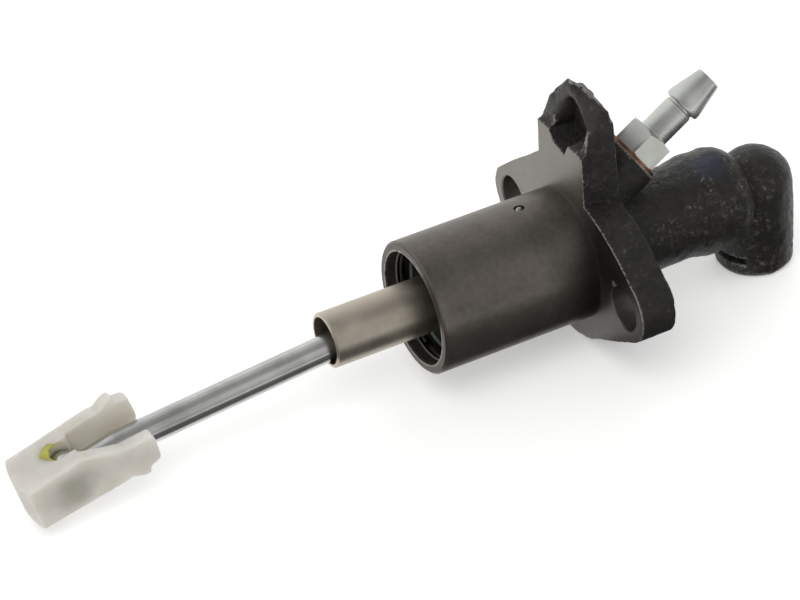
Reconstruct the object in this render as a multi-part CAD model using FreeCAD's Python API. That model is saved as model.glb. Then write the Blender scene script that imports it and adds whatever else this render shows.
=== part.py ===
import FreeCAD, Part
import os
from math import acos, atan2, cos, radians, sin, sqrt

# Clutch master cylinder, in millimetres.
# The origin is the centre of the flange's machined front face, on the cylinder's axis.
# +X runs along the axis to the outlet end, +Z points up through the lug, and the two bolts lie on Y.

V = FreeCAD.Vector
ORIGIN = V(0, 0, 0)
AXIS_X = V(1, 0, 0)
AXIS_Y = V(0, 1, 0)
AXIS_Z = V(0, 0, 1)

# Barrel, the turned front of the casting
barrel_radius = 20.0
barrel_length = 50.4
barrel_edge = 0.7
mouth_radius = 17.1
mouth_depth = 3.4
chamber_radius = 16.6
chamber_depth = 20.0
seal_bore_radius = 11.8
seal_bore_end = 14.5
pressure_bore_radius = 9.0
pressure_bore_end = 52.0

# Flange with its two bolt holes
flange_thickness = 11.3
flange_radius = 26.6
flange_edge = 1.0
ear_radius = 10.5
bolt_spacing = 64.0
bolt_hole_radius = 6.7
bolt_hole_edge = 0.4
left_foot_y = 14.4
left_foot_z = 27.2
right_foot_y = -11.0
right_foot_z = 22.2
right_side_y = -25.0
right_side_z = 17.2

# Lug on top of the flange
lug_left_y = 14.4
lug_right_y = -10.8
lug_top_y = 3.0
lug_thickness = 12.0
lug_left_height = 40.0
lug_left_shoulder_y = 10.6
lug_left_shoulder_z = 50.5
lug_right_height = 46.0
lug_right_shoulder_y = -5.0
lug_right_shoulder_z = 52.5
lug_top_height = 57.2
lug_face_height = 38.3
lug_step = 1.2
lug_top_setback = 4.2
lug_back_height = 48.8
lug_draft = 2.4
lug_foot_height = 24.0
pocket_left_y = 8.2
pocket_right_y = -9.4
pocket_top_y = 2.0
pocket_low = 34.0
pocket_high = 52.6
pocket_depth = 8.0
pocket_notch = 4.5

# Rear body, the raw part of the casting behind the flange
rear_radius = 14.3
hump_radius = 15.3
hump_lead = 5.0
hump_start = 42.0
hump_end = 48.5
rear_end = 57.5

# Elbow and outlet
outlet_x = 63.3
outlet_radius = 11.75
outlet_drop = 26.1
outlet_edge = 0.8
socket_radius = 6.0
socket_depth = 14.0
passage_radius = 2.6
clip_slot_reach = 7.4
clip_slot_height = 2.2
clip_slot_from_end = 4.2

# Supply boss, nipple and its washer
supply_tilt = 33.0
supply_seat_x = 22.0
supply_seat_z = 25.2
supply_boss_radius = 9.0
supply_boss_length = 18.0
supply_drill_radius = 2.2
thread_radius = 5.0
thread_length = 9.0
thread_hole_depth = 10.5
washer_radius = 8.4
washer_thickness = 1.0
hexagon_across_flats = 14.0
hexagon_length = 8.0
hexagon_turn = 16.0
neck_radius = 4.55
neck_length = 11.8
barb_radius = 5.6
barb_tip_radius = 3.85
barb_length = 10.9
nipple_bore_radius = 2.7

# Ball that closes the cross drilling on top of the barrel
closing_ball_x = -14.0
closing_ball_radius = 1.6
closing_ball_depth = 1.5
closing_ball_lean = 4.8

# Parts in the barrel's mouth
snap_ring_depth = 4.4
snap_ring_wire = 0.7
snap_ring_overlap = 0.7
snap_ring_gap = 24.0
cup_floor_depth = 7.6
cup_sheet = 1.2
cup_hole_clearance = 0.6
radial_fit = 0.05
slip = 0.3

# Guide bush and seals, from the mouth inwards
bush_shank_end = -12.5
bush_recess_radius = 11.2
bush_recess_depth = 4.2
wiper_length = 3.6
o_ring_x = -22.0
o_ring_section = 0.8
secondary_seal_length = 4.8
supply_ring_end = 8.5
supply_ring_inner_radius = 9.6
supply_ring_land = 2.5
supply_ring_slope = 1.0
supply_ring_relief = 0.8
supply_ring_holes = 6
supply_hole_radius = 1.8
backing_washer_thickness = 1.0
primary_seal_length = 4.8

# Plunger
plunger_radius = 8.2
plunger_out = 28.0
plunger_mouth_radius = 7.1
plunger_end = 18.0
plunger_web = 6.0
plunger_bore_radius = 6.2
spring_bore_start = -6.0
relief_holes = 4
relief_hole_radius = 0.6
relief_hole_x = 6.5

# Push rod with its two balls
rod_radius = 4.1
rod_droop = 5.68
rod_pivot_x = -52.3
rod_length = 107.8
inner_ball_radius = 5.4
inner_neck_radius = 3.2
inner_neck_length = 2.0
inner_neck_taper = 2.0
outer_ball_radius = 5.0
outer_neck_radius = 2.6
outer_neck_length = 15.0
ball_clearance = 0.1

# Nylon socket for the rod's inner ball and the ring that holds it
rod_socket_length = 11.5
rod_socket_lead = 4.6
socket_ring_wire = 0.55
socket_ring_room = 0.05

# Return spring and its seat
spring_wire = 1.5
spring_mean_radius = 4.8
spring_turns = 9
spring_seat_sheet = 1.0

# Nylon pedal clip, drawn in its own frame round the rod's outer ball
clip_droop = 13.0
clip_half_width = 8.5
clip_half_height = 8.4
clip_back = 15.0
clip_back_bulge = 1.5
clip_back_height = 6.3
clip_front = 24.8
clip_gap_half_width = 4.5
clip_core_front = 4.2
barb_start = 14.6
barb_ramp_end = 18.4
barb_peak = 20.2
barb_height = 10.1
barb_heel_height = 8.0
prong_tip_height = 7.0
prong_edge_height = 2.0
ramp_start = 15.5
ramp_end = 3.0
clip_window_radius = 3.3
clip_slot_half_width = 3.2
clip_slot_half_height = 5.2
clip_edge = 1.5

# Places that follow from the sizes above
mouth_x = -barrel_length
cup_floor_x = mouth_x + cup_floor_depth
bush_front_x = cup_floor_x + cup_sheet
chamber_end_x = mouth_x + chamber_depth
seal_pack_x = bush_shank_end
supply_ring_start = seal_pack_x + secondary_seal_length
backing_washer_end = supply_ring_end + backing_washer_thickness
plunger_front_x = mouth_x - plunger_out
supply_axis = V(cos(radians(supply_tilt)), 0, sin(radians(supply_tilt)))
supply_seat = V(supply_seat_x, 0, supply_seat_z)
rod_axis = V(cos(radians(rod_droop)), 0, sin(radians(rod_droop)))
inner_pivot = V(rod_pivot_x, 0, 0)
outer_pivot = inner_pivot - rod_axis * rod_length
clip_slot_z = -outlet_drop + clip_slot_from_end
closing_ball_axis = V(0, sin(radians(closing_ball_lean)), cos(radians(closing_ball_lean)))


def turned(points):
    """A solid of revolution about X from (x, radius) points."""
    corners = [V(x, 0, r) for x, r in points]
    face = Part.Face(Part.makePolygon(corners + corners[:1]))
    return face.revolve(ORIGIN, AXIS_X, 360)


def ring(start, end, outer, inner):
    """A plain ring on the X axis."""
    return turned([(start, inner), (start, outer), (end, outer), (end, inner)])


def rod(start, direction, radius, length):
    return Part.makeCylinder(radius, length, start, direction)


def fused(shapes):
    first, rest = shapes[0], shapes[1:]
    return first.fuse(rest).removeSplitter() if rest else first


def prism_x(points, start, end):
    """A (y, z) outline extruded along X."""
    corners = [V(start, y, z) for y, z in points]
    return Part.Face(Part.makePolygon(corners + corners[:1])).extrude(V(end - start, 0, 0))


def prism_y(points, start, end):
    """An (x, z) outline extruded along Y."""
    corners = [V(x, start, z) for x, z in points]
    return Part.Face(Part.makePolygon(corners + corners[:1])).extrude(V(0, end - start, 0))


def flange_plate():
    """Two round ears with tangent sides below; the upper sides end at the feet of the lug."""
    half = bolt_spacing / 2
    lean = acos((flange_radius - ear_radius) / half)

    def ear(side, turn):
        return V(0, side * (half + ear_radius * cos(turn)), ear_radius * sin(turn))

    def low(side):
        return V(0, side * flange_radius * cos(lean), -flange_radius * sin(lean))

    left_foot = V(0, left_foot_y, left_foot_z)
    right_foot = V(0, right_foot_y, right_foot_z)
    left_turn = atan2(half - left_foot_y, left_foot_z - ear_radius * 0.2)
    right_turn = radians(62)
    edges = [Part.Arc(ear(1, -lean), ear(1, 0), ear(1, left_turn)),
             Part.LineSegment(ear(1, left_turn), left_foot),
             Part.LineSegment(left_foot, right_foot),
             Part.Arc(right_foot, V(0, right_side_y, right_side_z), ear(-1, right_turn)),
             Part.Arc(ear(-1, right_turn), ear(-1, 0), ear(-1, -lean)),
             Part.LineSegment(ear(-1, -lean), low(-1)),
             Part.Arc(low(-1), V(0, 0, -flange_radius), low(1)),
             Part.LineSegment(low(1), ear(1, -lean))]
    outline = Part.Wire([edge.toShape() for edge in edges])
    plate = Part.Face(outline).extrude(V(flange_thickness, 0, 0))
    back = [e for e in plate.Edges if abs(e.BoundBox.XMin - flange_thickness) < 0.01]
    return plate.makeFillet(flange_edge, back)


def lug():
    """The raw lug: an outline that narrows to the back, met by its side profile."""
    def outline(x, draft):
        corners = [(lug_left_y, 0), (lug_left_y, lug_left_height),
                   (lug_left_shoulder_y - draft, lug_left_shoulder_z), (lug_top_y, lug_top_height),
                   (lug_right_shoulder_y + draft, lug_right_shoulder_z),
                   (lug_right_y + draft, lug_right_height), (lug_right_y, lug_foot_height),
                   (lug_right_y, 0)]
        points = [V(x, y, z) for y, z in corners]
        return Part.makePolygon(points + points[:1])

    profile = [(0, 0), (0, lug_face_height), (lug_step, lug_face_height + lug_step),
               (lug_top_setback, lug_top_height), (lug_thickness, lug_back_height), (lug_thickness, 0)]
    block = Part.makeLoft([outline(0, 0), outline(lug_thickness, lug_draft)], True, True)
    return block.common(prism_y(profile, lug_right_y - 1, lug_left_y + 1))


def lug_pocket():
    """A pointed recess that narrows inwards, with a notched lower end."""
    def outline(x, shrink):
        left, right = pocket_left_y - shrink, pocket_right_y + shrink
        low, high = pocket_low + shrink, pocket_high - shrink
        width, height = left - right, high - low
        corners = [(pocket_top_y, high), (left - width * 0.12, low + height * 0.62), (left, low + height * 0.22),
                   (left - width * 0.12, low + height * 0.06), (left - width * 0.5, low),
                   (left - width * 0.65, low + pocket_notch), (right + width * 0.15, low + height * 0.26),
                   (right, low + height * 0.36), (right, low + height * 0.7),
                   (right + width * 0.25, high - height * 0.06)]
        points = [V(x, y, z) for y, z in corners]
        return Part.makePolygon(points + points[:1])

    return Part.makeLoft([outline(-1.0, 0.0), outline(pocket_depth, 1.8)], True)


def rear_body():
    """The raw body behind the flange, with a slight hump and a rounded end."""
    corners = [V(0, 0, 0), V(0, 0, rear_radius), V(hump_start - hump_lead, 0, rear_radius),
               V(hump_start, 0, hump_radius), V(hump_end, 0, hump_radius)]
    end = V(rear_end, 0, outlet_radius * 0.8)
    middle = V(hump_end + (rear_end - hump_end) * 0.72, 0, hump_radius - 2.0)
    edges = [Part.LineSegment(a, b).toShape() for a, b in zip(corners, corners[1:])]
    edges.append(Part.Arc(corners[-1], middle, end).toShape())
    edges.append(Part.LineSegment(end, V(rear_end, 0, 0)).toShape())
    edges.append(Part.LineSegment(V(rear_end, 0, 0), corners[0]).toShape())
    return Part.Face(Part.Wire(edges)).revolve(ORIGIN, AXIS_X, 360)


def elbow():
    """The outlet column with its domed top."""
    foot = V(outlet_x, 0, -outlet_drop)
    column = rod(foot, AXIS_Z, outlet_radius, outlet_drop)
    low = [e for e in column.Edges if abs(e.BoundBox.ZMax + outlet_drop) < 0.01]
    column = column.makeChamfer(outlet_edge, low)
    dome = Part.makeSphere(outlet_radius, V(outlet_x, 0, 0))
    return column.fuse(dome)


def supply_boss():
    return rod(supply_seat, supply_axis * -1, supply_boss_radius, supply_boss_length)


def barrel():
    return turned([(mouth_x, 0), (mouth_x, barrel_radius - barrel_edge),
                   (mouth_x + barrel_edge, barrel_radius), (1, barrel_radius), (1, 0)])


def cylinder_bores():
    """Everything that is bored along the cylinder's axis."""
    ring_x = mouth_x + snap_ring_depth
    groove_radius = mouth_radius + snap_ring_overlap
    bores = [turned([(mouth_x - 1, 0), (mouth_x - 1, mouth_radius),
                     (mouth_x + mouth_depth, mouth_radius), (mouth_x + mouth_depth + 0.4, chamber_radius),
                     (chamber_end_x, chamber_radius), (chamber_end_x, 0)]),
             ring(ring_x, ring_x + 2 * snap_ring_wire, groove_radius, 0),
             rod(V(chamber_end_x - 1, 0, 0), AXIS_X, seal_bore_radius, seal_bore_end - chamber_end_x + 1),
             rod(V(seal_bore_end - 1, 0, 0), AXIS_X, pressure_bore_radius,
                 pressure_bore_end - seal_bore_end + 1)]
    return fused(bores)


def outlet_bores():
    """The pipe socket, the passage to the pressure chamber and the two slots for the pipe's clip."""
    foot = V(outlet_x, 0, -outlet_drop)
    cuts = [rod(foot - AXIS_Z, AXIS_Z, socket_radius, socket_depth + 1),
            rod(foot, AXIS_Z, passage_radius, outlet_drop),
            rod(V(pressure_bore_end - 1, 0, 0), AXIS_X, passage_radius, outlet_x - pressure_bore_end + 1)]
    for side in (-1, 1):
        inner = outlet_x + side * clip_slot_reach
        outer = outlet_x + side * (outlet_radius + 1)
        start = min(inner, outer)
        cuts.append(Part.makeBox(abs(outer - inner), 2 * outlet_radius, clip_slot_height,
                                 V(start, -outlet_radius, clip_slot_z)))
    return cuts


def supply_bores():
    """The nipple's thread hole and the drilling down to the seal bore."""
    depth = (supply_seat_z - seal_bore_radius + 3) / sin(radians(supply_tilt))
    inward = supply_axis * -1
    return [rod(supply_seat + supply_axis, inward, thread_radius + radial_fit, thread_hole_depth + 1),
            rod(supply_seat, inward, supply_drill_radius, depth)]


def closing_ball_drilling():
    start = V(closing_ball_x, 0, 0) + closing_ball_axis * (seal_bore_radius - 1)
    return rod(start, closing_ball_axis, closing_ball_radius, barrel_radius - seal_bore_radius + 3)


def cylinder_body():
    """The iron casting with all its bores."""
    body = fused([flange_plate(), barrel(), lug(), rear_body(), elbow(), supply_boss()])
    cuts = [cylinder_bores(), lug_pocket(), closing_ball_drilling()]
    cuts += outlet_bores() + supply_bores()
    for side in (-1, 1):
        y = side * bolt_spacing / 2
        cuts.append(rod(V(-1, y, 0), AXIS_X, bolt_hole_radius, flange_thickness + 2))
        cuts.append(Part.makeCone(bolt_hole_radius + bolt_hole_edge, bolt_hole_radius, bolt_hole_edge,
                                  V(0, y, 0), AXIS_X))
    return body.cut(cuts).removeSplitter()


def closing_ball():
    center = V(closing_ball_x, 0, 0) + closing_ball_axis * (barrel_radius - closing_ball_depth)
    return Part.makeSphere(closing_ball_radius, center)


def wire_ring(x, major, wire, gap_degrees):
    """A round wire ring with an open gap at its lower end."""
    torus = Part.makeTorus(major, wire, V(x, 0, 0), AXIS_X)
    half = radians(gap_degrees / 2)
    far = major + 3 * wire
    wedge = prism_x([(0, 0), (far * sin(half), -far), (-far * sin(half), -far)], x - 2 * wire, x + 2 * wire)
    return torus.cut(wedge)


def snap_ring():
    major = mouth_radius + snap_ring_overlap - snap_ring_wire
    return wire_ring(mouth_x + snap_ring_depth + snap_ring_wire, major, snap_ring_wire, snap_ring_gap)


def retainer_cup():
    """A pressed cup washer: a lip behind the snap ring and a floor round the plunger."""
    outer = chamber_radius - radial_fit
    lip_x = mouth_x + snap_ring_depth + 2 * snap_ring_wire
    hole = plunger_radius + cup_hole_clearance
    inner = outer - cup_sheet
    return turned([(lip_x, inner), (lip_x, outer), (cup_floor_x + cup_sheet - 0.6, outer),
                   (cup_floor_x + cup_sheet, outer - 0.6), (cup_floor_x + cup_sheet, hole),
                   (cup_floor_x, hole), (cup_floor_x, inner - 0.6), (cup_floor_x - 0.6, inner)])


def guide_bush():
    """A flanged bush: a head in the barrel's chamber and a shank in the seal bore."""
    head = chamber_radius - radial_fit
    shank = seal_bore_radius - radial_fit
    bore = plunger_radius + radial_fit
    groove_low = shank - 2 * o_ring_section
    groove_half = o_ring_section + 0.2
    bush = turned([(bush_front_x, bush_recess_radius), (bush_front_x, head), (chamber_end_x, head),
                   (chamber_end_x, shank), (o_ring_x - groove_half, shank),
                   (o_ring_x - groove_half, groove_low), (o_ring_x + groove_half, groove_low),
                   (o_ring_x + groove_half, shank), (bush_shank_end, shank), (bush_shank_end, bore),
                   (bush_front_x + bush_recess_depth, bore),
                   (bush_front_x + bush_recess_depth, bush_recess_radius)])
    return bush


def bush_o_ring():
    major = seal_bore_radius - radial_fit - o_ring_section
    return Part.makeTorus(major, o_ring_section, V(o_ring_x, 0, 0), AXIS_X)


def lip_seal(start, length, outer, lips_forward):
    """A rubber cup seal: a solid heel, a groove in its face and a slim inner and outer lip."""
    inner = plunger_radius + slip
    middle = (inner + outer) / 2
    lip = (outer - inner) * 0.27
    heel = length * 0.45
    profile = [(0, inner + lip * 0.5), (0, outer), (length, outer), (length, outer - lip),
               (heel, middle), (length, inner + lip), (length, inner), (heel, inner)]
    sign = 1 if lips_forward else -1
    origin = start if lips_forward else start + length
    return turned([(origin + sign * x, r) for x, r in profile])


def wiper_seal():
    return lip_seal(bush_front_x + bush_recess_depth - wiper_length, wiper_length,
                    bush_recess_radius, False)


def secondary_seal():
    return lip_seal(seal_pack_x, secondary_seal_length, seal_bore_radius - radial_fit, True)


def supply_ring():
    """The spacer between the seals, relieved inside and drilled across."""
    outer = seal_bore_radius - radial_fit
    collar = plunger_radius + slip
    start, end = supply_ring_start, supply_ring_end
    land, slope = supply_ring_land, supply_ring_land + supply_ring_slope
    waist = outer - supply_ring_relief
    body = turned([(start, collar + 1.2), (start, outer), (start + land, outer), (start + slope, waist),
                   (end - slope, waist), (end - land, outer), (end, outer), (end, collar),
                   (end - land + 0.5, collar), (end - land - 0.3, supply_ring_inner_radius),
                   (start + slope, supply_ring_inner_radius), (start + land - 0.5, collar + 1.2)])
    hole = rod(V((start + end) / 2, 0, 0), AXIS_Z, supply_hole_radius, outer + 1)
    holes = []
    for index in range(supply_ring_holes):
        turned_hole = hole.copy()
        turned_hole.rotate(ORIGIN, AXIS_X, 360 * index / supply_ring_holes)
        holes.append(turned_hole)
    return body.cut(holes)


def backing_washer():
    return ring(supply_ring_end, backing_washer_end, seal_bore_radius - radial_fit, plunger_radius + slip)


def primary_seal():
    return lip_seal(backing_washer_end, primary_seal_length, seal_bore_radius - radial_fit, True)


def plunger():
    """The tube that slides: the rod's end is open to the front, the spring's end to the rear."""
    socket_end = rod_pivot_x - rod_socket_lead + rod_socket_length
    groove_end = rod_pivot_x - rod_socket_lead + socket_ring_room
    groove_x = groove_end - 2 * (socket_ring_wire + socket_ring_room)
    groove_radius = plunger_mouth_radius + socket_ring_wire + socket_ring_room
    edge = 0.4
    web_end = socket_end + plunger_web
    body = turned([(plunger_front_x, plunger_mouth_radius), (plunger_front_x, plunger_radius - edge),
                   (plunger_front_x + edge, plunger_radius), (plunger_end - 1.5, plunger_radius),
                   (plunger_end, plunger_radius - 0.8), (plunger_end, plunger_bore_radius),
                   (spring_bore_start, plunger_bore_radius), (spring_bore_start, 2.6),
                   (web_end, 2.6), (web_end, 0), (socket_end, 0), (socket_end, plunger_mouth_radius),
                   (groove_end, plunger_mouth_radius), (groove_end, groove_radius), (groove_x, groove_radius),
                   (groove_x, plunger_mouth_radius)])
    hole = rod(V(relief_hole_x, 0, 0), AXIS_Z, relief_hole_radius, plunger_radius + 1)
    holes = []
    for index in range(relief_holes):
        turned_hole = hole.copy()
        turned_hole.rotate(ORIGIN, AXIS_X, 45 + 360 * index / relief_holes)
        holes.append(turned_hole)
    return body.cut(holes)


def rod_socket():
    """The nylon cup that closes over the rod's inner ball."""
    start = rod_pivot_x - rod_socket_lead
    outer = plunger_mouth_radius - radial_fit
    cup = rod(V(start, 0, 0), AXIS_X, outer, rod_socket_length)
    ball = Part.makeSphere(inner_ball_radius + ball_clearance, inner_pivot)
    mouth = Part.makeCone(outer - 0.5, inner_neck_radius + 1.6, rod_socket_lead - 1.2,
                          V(start - 0.01, 0, 0), AXIS_X)
    return cup.cut([ball, mouth])


def socket_ring():
    x = rod_pivot_x - rod_socket_lead - socket_ring_wire
    return wire_ring(x, plunger_mouth_radius, socket_ring_wire, snap_ring_gap)


def push_rod():
    """Rod, two balls and the tapered necks between them, drawn along X and then tilted."""
    inner_reach = sqrt(inner_ball_radius ** 2 - inner_neck_radius ** 2)
    outer_reach = sqrt(outer_ball_radius ** 2 - outer_neck_radius ** 2)
    shank = turned([(-rod_length + outer_reach - 0.3, 0), (-rod_length + outer_reach - 0.3, outer_neck_radius),
                    (-rod_length + outer_reach + 0.8, outer_neck_radius),
                    (-rod_length + outer_neck_length, rod_radius),
                    (-inner_reach - inner_neck_length - inner_neck_taper, rod_radius),
                    (-inner_reach - inner_neck_length, inner_neck_radius), (-inner_reach + 0.3, inner_neck_radius),
                    (-inner_reach + 0.3, 0)])
    balls = [Part.makeSphere(inner_ball_radius, ORIGIN),
             Part.makeSphere(outer_ball_radius, V(-rod_length, 0, 0))]
    whole = fused([shank] + balls)
    whole.rotate(ORIGIN, AXIS_Y, -rod_droop)
    whole.translate(inner_pivot)
    return whole


def spring_seat():
    """A small steel washer cup on the floor of the plunger's rear bore."""
    x = spring_bore_start
    outer = plunger_bore_radius - radial_fit
    inner = spring_mean_radius - spring_wire / 2 - 0.2
    sheet = spring_seat_sheet
    return turned([(x, 2.6), (x, outer), (x + sheet, outer), (x + sheet, inner),
                   (x + 3 * sheet, inner), (x + 3 * sheet, 2.6)])


def return_spring():
    """A coil with one closed turn at each end."""
    start = spring_bore_start + spring_seat_sheet + spring_wire / 2
    end = pressure_bore_end - spring_wire / 2
    height = end - start
    helix = Part.makeHelix(height / spring_turns, height, spring_mean_radius)
    profile = Part.Wire(Part.makeCircle(spring_wire / 2, V(spring_mean_radius, 0, 0), AXIS_Y))
    coil = Part.Wire(helix.Edges).makePipeShell([profile], True, True)
    coil.rotate(ORIGIN, AXIS_Y, 90)
    coil.translate(V(start, 0, 0))
    ends = [Part.makeTorus(spring_mean_radius, spring_wire / 2, V(x, 0, 0), AXIS_X) for x in (start, end)]
    return coil.fuse(ends)


def clip_side():
    """The outline of the near prong's wall in the clip's own (along, up) plane."""
    tall, reach = clip_half_height, clip_front
    return [(-clip_back, -tall), (barb_start - 1, -tall), (barb_start, -tall + 0.5),
            (barb_ramp_end, -barb_height), (barb_peak, -barb_height), (barb_peak + 0.5, -barb_heel_height),
            (reach - 1.5, -prong_tip_height - 0.6), (reach - 0.3, -prong_tip_height + 0.5), (reach, 0),
            (reach - 0.4, prong_edge_height), (ramp_start, prong_edge_height + 0.6),
            (ramp_end, tall - 0.4), (ramp_end - 1.2, tall), (-clip_back, tall)]


def pedal_clip():
    """A block round the ball with two prongs, each the other's half turn about the clip's axis."""
    near = prism_y(clip_side(), -clip_half_width, -clip_gap_half_width)
    far = near.copy()
    far.rotate(ORIGIN, AXIS_X, 180)
    core = Part.makeBox(clip_back + clip_core_front, 2 * clip_gap_half_width, 2 * clip_half_height,
                        V(-clip_back, -clip_gap_half_width, -clip_half_height))
    body = fused([near, core, far])
    top = clip_half_height
    body = body.cut(prism_y([(-clip_back - 1, clip_back_height), (barb_start - 1, top),
                             (barb_start - 1, top + 1), (-clip_back - 1, top + 1)],
                            -clip_half_width - 1, clip_half_width + 1))
    corners = [e for e in body.Edges if abs(e.BoundBox.XMax + clip_back) < 0.01
               and e.BoundBox.YLength > clip_half_width]
    body = body.makeFillet(clip_edge, corners)
    bend = (clip_half_width ** 2 + clip_back_bulge ** 2) / (2 * clip_back_bulge)
    body = body.common(rod(V(bend - clip_back, 0, -2 * clip_half_height), AXIS_Z, bend, 4 * clip_half_height))
    ball = Part.makeSphere(outer_ball_radius + ball_clearance, ORIGIN)
    window = rod(ORIGIN, AXIS_Z, clip_window_radius, clip_half_height + 1)
    slot = Part.makeBox(clip_core_front + 1, 2 * clip_slot_half_width, 2 * clip_slot_half_height,
                        V(0, -clip_slot_half_width, -clip_slot_half_height))
    top_slot = Part.makeBox(clip_core_front + 1, 2 * clip_slot_half_width, clip_half_height + 1,
                            V(0, -clip_slot_half_width, 0))
    body = body.cut([ball, window, slot, top_slot])
    body.rotate(ORIGIN, AXIS_Y, -clip_droop)
    body.translate(outer_pivot)
    return body


def supply_nipple():
    """Thread, hexagon, neck and hose barb, drawn along X and then set on the boss."""
    hex_start = washer_thickness
    hex_end = hex_start + hexagon_length
    barb_start_x = hex_end + neck_length
    tip = barb_start_x + barb_length
    corner_radius = hexagon_across_flats / sqrt(3)
    turns = [radians(hexagon_turn + 60 * i) for i in range(6)]
    corners = [(corner_radius * cos(turn), corner_radius * sin(turn)) for turn in turns]
    hexagon = prism_x(corners, hex_start, hex_end)
    crown = turned([(hex_start, 0), (hex_start, corner_radius), (hex_end - 0.9, corner_radius),
                    (hex_end, hexagon_across_flats / 2 - 0.2), (hex_end, 0)])
    stem = turned([(-thread_length, 0), (-thread_length, thread_radius - 0.6),
                   (-thread_length + 0.8, thread_radius), (hex_start, thread_radius),
                   (hex_start, neck_radius), (barb_start_x - 0.6, neck_radius),
                   (barb_start_x - 0.6, barb_radius - 0.3), (barb_start_x, barb_radius),
                   (barb_start_x + 1.6, barb_radius), (tip - 0.5, barb_tip_radius),
                   (tip, barb_tip_radius - 0.5), (tip, 0)])
    whole = fused([hexagon.common(crown), stem])
    whole = whole.cut(rod(V(-thread_length - 1, 0, 0), AXIS_X, nipple_bore_radius,
                          tip + thread_length + 2))
    whole.rotate(ORIGIN, AXIS_Y, -supply_tilt)
    whole.translate(supply_seat)
    return whole


def sealing_washer():
    washer = ring(0, washer_thickness, washer_radius, thread_radius + 0.1)
    washer.rotate(ORIGIN, AXIS_Y, -supply_tilt)
    washer.translate(supply_seat)
    return washer


PIECES = [cylinder_body, closing_ball, snap_ring, retainer_cup, guide_bush, bush_o_ring, wiper_seal,
          secondary_seal, supply_ring, backing_washer, primary_seal, plunger, rod_socket, socket_ring,
          push_rod, spring_seat, return_spring, pedal_clip, supply_nipple, sealing_washer]

os.makedirs("parts", exist_ok=True)
for piece in PIECES:
    shape = piece()
    if not shape.isValid() or len(shape.Solids) != 1:
        print(piece.__name__, "valid", shape.isValid(), "solids", len(shape.Solids))
    shape.exportStep("parts/" + piece.__name__ + ".step")
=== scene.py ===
"""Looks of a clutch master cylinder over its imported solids.

The frame is the solids' own: +X along the cylinder's axis to the outlet, +Z up through the lug and
Y through the two bolts. Lengths are written in millimetres and turned to metres where a mesh is made.
"""

import bpy
import numpy as np
from mathutils import Matrix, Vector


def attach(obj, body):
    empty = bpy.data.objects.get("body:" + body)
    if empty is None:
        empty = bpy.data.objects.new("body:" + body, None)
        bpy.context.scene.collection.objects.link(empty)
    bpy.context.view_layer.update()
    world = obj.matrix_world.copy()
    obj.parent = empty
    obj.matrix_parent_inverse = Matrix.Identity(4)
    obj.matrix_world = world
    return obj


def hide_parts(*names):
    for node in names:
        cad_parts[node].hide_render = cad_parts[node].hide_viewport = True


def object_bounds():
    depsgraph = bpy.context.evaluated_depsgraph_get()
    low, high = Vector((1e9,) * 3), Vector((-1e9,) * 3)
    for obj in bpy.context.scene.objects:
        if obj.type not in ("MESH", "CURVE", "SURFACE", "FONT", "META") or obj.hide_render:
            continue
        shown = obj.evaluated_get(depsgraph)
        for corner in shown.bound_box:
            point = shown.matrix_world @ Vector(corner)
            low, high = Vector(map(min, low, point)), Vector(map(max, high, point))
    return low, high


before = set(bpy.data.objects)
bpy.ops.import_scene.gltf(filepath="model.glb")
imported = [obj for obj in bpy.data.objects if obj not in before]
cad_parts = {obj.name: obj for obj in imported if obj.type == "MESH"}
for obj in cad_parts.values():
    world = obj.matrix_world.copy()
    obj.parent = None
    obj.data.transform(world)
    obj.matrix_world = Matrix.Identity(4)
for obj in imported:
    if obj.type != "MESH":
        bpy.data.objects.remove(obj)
cad_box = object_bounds()

MM = 0.001

# Sizes that the dressed pieces share with the solids
flange_face_x = 0.0
rim_radius = 17.25
lug_face_height = 38.3
bolt_y = 32.0
bolt_hole_radius = 6.7
outlet_x = 63.3
outlet_foot_z = -26.1
socket_radius = 6.0
supply_seat = np.array([22.0, 0.0, 25.2])
supply_tilt = np.radians(33.0)
supply_axis = np.array([np.cos(supply_tilt), 0.0, np.sin(supply_tilt)])
outer_ball = np.array([-159.57, 0.0, -10.67])
pocket_middle = np.array([3.0, -1.0, 46.0])
pocket_mouth = np.array([2.0, -1.0, 46.0])
torn_middle = np.array([4.0, -6.0, 51.0])
hump_middle = np.array([46.0, -3.0, 17.0])
pip_glint_middle = np.array([0.0, -27.0, 5.2])
clip_droop = np.radians(13.0)
rod_droop = np.radians(5.68)
window_radius = 3.3
clip_top = 7.5
clip_forward = np.array([np.cos(clip_droop), 0.0, np.sin(clip_droop)])
clip_upward = np.array([-np.sin(clip_droop), 0.0, np.cos(clip_droop)])
shade_middle = outer_ball + np.array([-0.8, 0.0, -1.2])
grease_middle = outer_ball + clip_top * clip_upward - 2.6 * clip_forward + np.array([0.0, 1.6, 0.0])


# Meshes

def solid_copy(node):
    """A node's triangles in millimetres, with corners that round to the same 0.001 mm made one."""
    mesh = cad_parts[node].data
    mesh.calc_loop_triangles()
    points = np.empty(len(mesh.vertices) * 3, np.float32)
    mesh.vertices.foreach_get("co", points)
    corners = np.empty(len(mesh.loop_triangles) * 3, np.int32)
    mesh.loop_triangles.foreach_get("vertices", corners)
    rounded = np.round(points.reshape(-1, 3).astype(float) / MM, 3)
    points, which = np.unique(rounded, axis=0, return_inverse=True)
    triangles = which.reshape(-1)[corners].reshape(-1, 3)
    a, b, c = triangles.T
    return points, triangles[(a != b) & (b != c) & (c != a)]


def edge_list(triangles, count):
    """The edges of a triangle mesh, each once, and for each triangle's three sides the edge it is."""
    ends = np.stack([triangles, np.roll(triangles, -1, axis=1)], axis=2).reshape(-1, 2)
    ends.sort(axis=1)
    keys, which = np.unique(ends[:, 0] * count + ends[:, 1], return_inverse=True)
    return np.stack([keys // count, keys % count], axis=1), which.reshape(-1, 3)


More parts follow.
